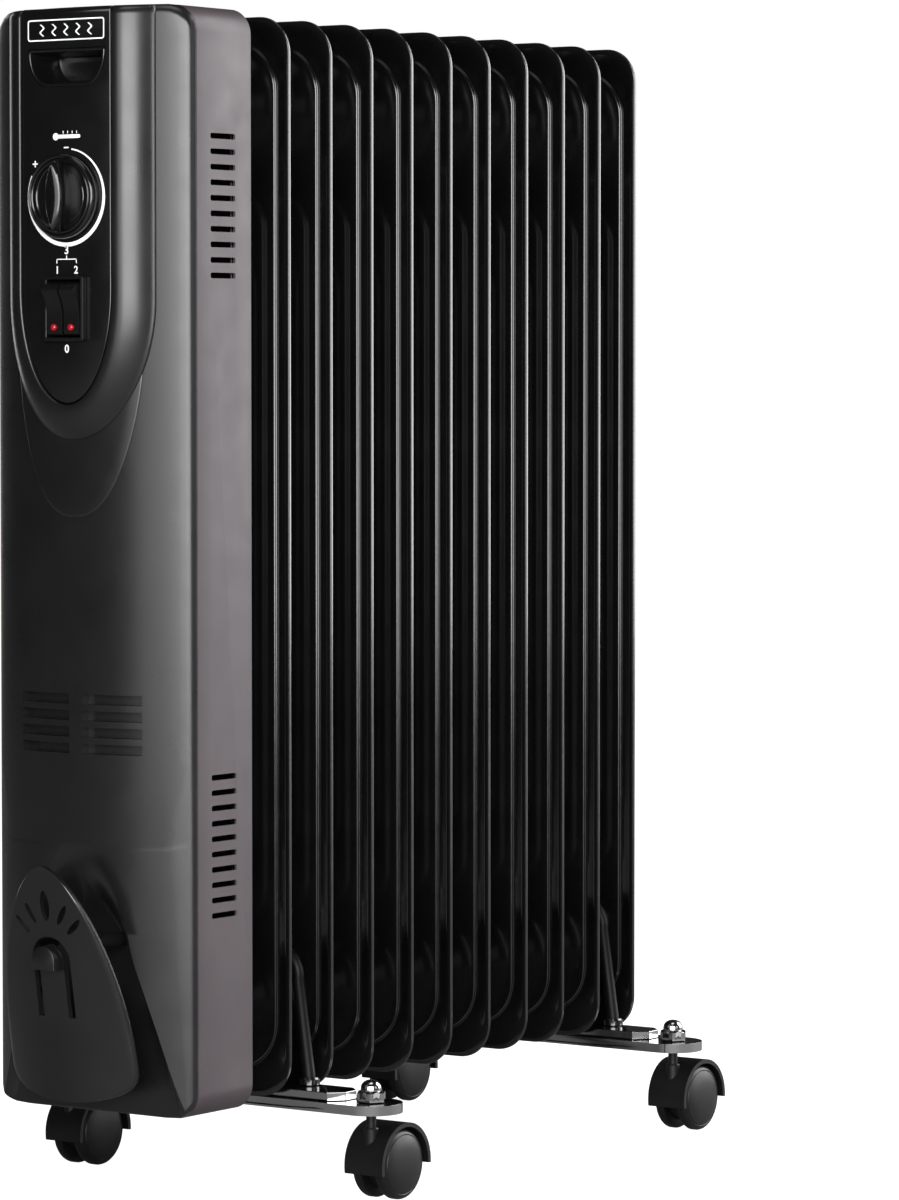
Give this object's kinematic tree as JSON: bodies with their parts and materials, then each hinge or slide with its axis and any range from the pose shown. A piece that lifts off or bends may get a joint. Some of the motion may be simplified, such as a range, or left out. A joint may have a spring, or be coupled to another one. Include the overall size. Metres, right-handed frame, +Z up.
{
  "type": "oil filled radiator heater",
  "caption": "Upright oil filled radiator heater: a row of pressed steel fins, a control box with dial and rocker switches, and twin-wheel casters on chromed bars.",
  "frame": {"origin": "centre of the bounding box on the floor", "axes": "+Z up; X is the width, with +X on the right hand of someone facing the control panel; the panel faces -Y and the fin stack runs to +Y"},
  "size_m": [0.2408, 0.4918, 0.6355],
  "materials": {
    "black_enamel": "gloss baked enamel",
    "box_paint": "satin powder coat",
    "satin_black": "satin moulded plastic",
    "fascia_black": "semi-gloss moulded plastic",
    "matt_black": "fine-textured plastic",
    "chrome": "bright plated",
    "lamp_red": "tinted lens",
    "zinc_steel": "zinc plated"
  },
  "bodies": {
    "heater": {"fin_01": "black_enamel", "fin_02": "black_enamel", "fin_03": "black_enamel", "fin_04": "black_enamel", "fin_05": "black_enamel", "fin_06": "black_enamel", "fin_07": "black_enamel", "fin_08": "black_enamel", "fin_09": "black_enamel", "fin_10": "black_enamel", "fin_11": "black_enamel", "control_box_shell": "box_paint", "front_cover": "satin_black", "control_bezel": "satin_black", "control_fascia": "fascia_black", "handle_cup": "fascia_black", "thermostat_body": "zinc_steel", "switch_frame": "matt_black", "cord_plate": "satin_black", "cord_gland": "matt_black", "heating_element": "zinc_steel", "element_flange": "zinc_steel", "oil_fill_plug": "zinc_steel", "foot_bar_front": "chrome", "clamp_plate_front": "chrome", "u_bolt_front": "matt_black", "clamp_nut_front_left": "matt_black", "clamp_nut_front_right": "matt_black", "caster_stem_front_left": "matt_black", "acorn_nut_front_left": "chrome", "caster_stem_front_right": "matt_black", "acorn_nut_front_right": "chrome", "foot_bar_rear": "chrome", "clamp_plate_rear": "chrome", "u_bolt_rear": "matt_black", "clamp_nut_rear_left": "matt_black", "clamp_nut_rear_right": "matt_black", "caster_stem_rear_left": "matt_black", "acorn_nut_rear_left": "chrome", "caster_stem_rear_right": "matt_black", "acorn_nut_rear_right": "chrome"},
    "dial": {"thermostat_knob": "satin_black"},
    "low_rocker": {"rocker_low": "matt_black", "lamp_low": "lamp_red"},
    "med_rocker": {"rocker_med": "matt_black", "lamp_med": "lamp_red"},
    "caster_front_left": {"caster_hood_front_left": "matt_black"},
    "wheel_front_left_outer_body": {"wheel_front_left_outer": "matt_black"},
    "wheel_front_left_inner_body": {"wheel_front_left_inner": "matt_black"},
    "caster_front_right": {"caster_hood_front_right": "matt_black"},
    "wheel_front_right_outer_body": {"wheel_front_right_outer": "matt_black"},
    "wheel_front_right_inner_body": {"wheel_front_right_inner": "matt_black"},
    "caster_rear_left": {"caster_hood_rear_left": "matt_black"},
    "wheel_rear_left_outer_body": {"wheel_rear_left_outer": "matt_black"},
    "wheel_rear_left_inner_body": {"wheel_rear_left_inner": "matt_black"},
    "caster_rear_right": {"caster_hood_rear_right": "matt_black"},
    "wheel_rear_right_outer_body": {"wheel_rear_right_outer": "matt_black"},
    "wheel_rear_right_inner_body": {"wheel_rear_right_inner": "matt_black"}
  },
  "joints": [
    {"name": "thermostat_turn", "type": "hinge", "parent": "heater", "child": "dial", "pos_m": [0, -0.22252, 0.5361], "axis": [0, 1, 0], "range_deg": [0, 300]},
    {"name": "low_switch", "type": "hinge", "parent": "heater", "child": "low_rocker", "pos_m": [-0.0057, -0.22052, 0.4777], "axis": [-1, 0, 0], "range_deg": [0, 14]},
    {"name": "med_switch", "type": "hinge", "parent": "heater", "child": "med_rocker", "pos_m": [0.0057, -0.22052, 0.4777], "axis": [-1, 0, 0], "range_deg": [0, 14]},
    {"name": "swivel_front_left", "type": "hinge", "parent": "heater", "child": "caster_front_left", "pos_m": [-0.1034, -0.09415, 0.019], "axis": [0, 0, 1], "continuous": true},
    {"name": "roll_front_left_outer", "type": "hinge", "parent": "caster_front_left", "child": "wheel_front_left_outer_body", "pos_m": [-0.1034, -0.07895, 0.019], "axis": [1, 0, 0], "continuous": true},
    {"name": "roll_front_left_inner", "type": "hinge", "parent": "caster_front_left", "child": "wheel_front_left_inner_body", "pos_m": [-0.1034, -0.07895, 0.019], "axis": [1, 0, 0], "continuous": true},
    {"name": "swivel_front_right", "type": "hinge", "parent": "heater", "child": "caster_front_right", "pos_m": [0.1034, -0.09415, 0.019], "axis": [0, 0, 1], "continuous": true},
    {"name": "roll_front_right_outer", "type": "hinge", "parent": "caster_front_right", "child": "wheel_front_right_outer_body", "pos_m": [0.1034, -0.07895, 0.019], "axis": [1, 0, 0], "continuous": true},
    {"name": "roll_front_right_inner", "type": "hinge", "parent": "caster_front_right", "child": "wheel_front_right_inner_body", "pos_m": [0.1034, -0.07895, 0.019], "axis": [1, 0, 0], "continuous": true},
    {"name": "swivel_rear_left", "type": "hinge", "parent": "heater", "child": "caster_rear_left", "pos_m": [-0.1034, 0.20809, 0.019], "axis": [0, 0, 1], "continuous": true},
    {"name": "roll_rear_left_outer", "type": "hinge", "parent": "caster_rear_left", "child": "wheel_rear_left_outer_body", "pos_m": [-0.1034, 0.22329, 0.019], "axis": [1, 0, 0], "continuous": true},
    {"name": "roll_rear_left_inner", "type": "hinge", "parent": "caster_rear_left", "child": "wheel_rear_left_inner_body", "pos_m": [-0.1034, 0.22329, 0.019], "axis": [1, 0, 0], "continuous": true},
    {"name": "swivel_rear_right", "type": "hinge", "parent": "heater", "child": "caster_rear_right", "pos_m": [0.1034, 0.20809, 0.019], "axis": [0, 0, 1], "continuous": true},
    {"name": "roll_rear_right_outer", "type": "hinge", "parent": "caster_rear_right", "child": "wheel_rear_right_outer_body", "pos_m": [0.1034, 0.22329, 0.019], "axis": [1, 0, 0], "continuous": true},
    {"name": "roll_rear_right_inner", "type": "hinge", "parent": "caster_rear_right", "child": "wheel_rear_right_inner_body", "pos_m": [0.1034, 0.22329, 0.019], "axis": [1, 0, 0], "continuous": true}
  ]
}
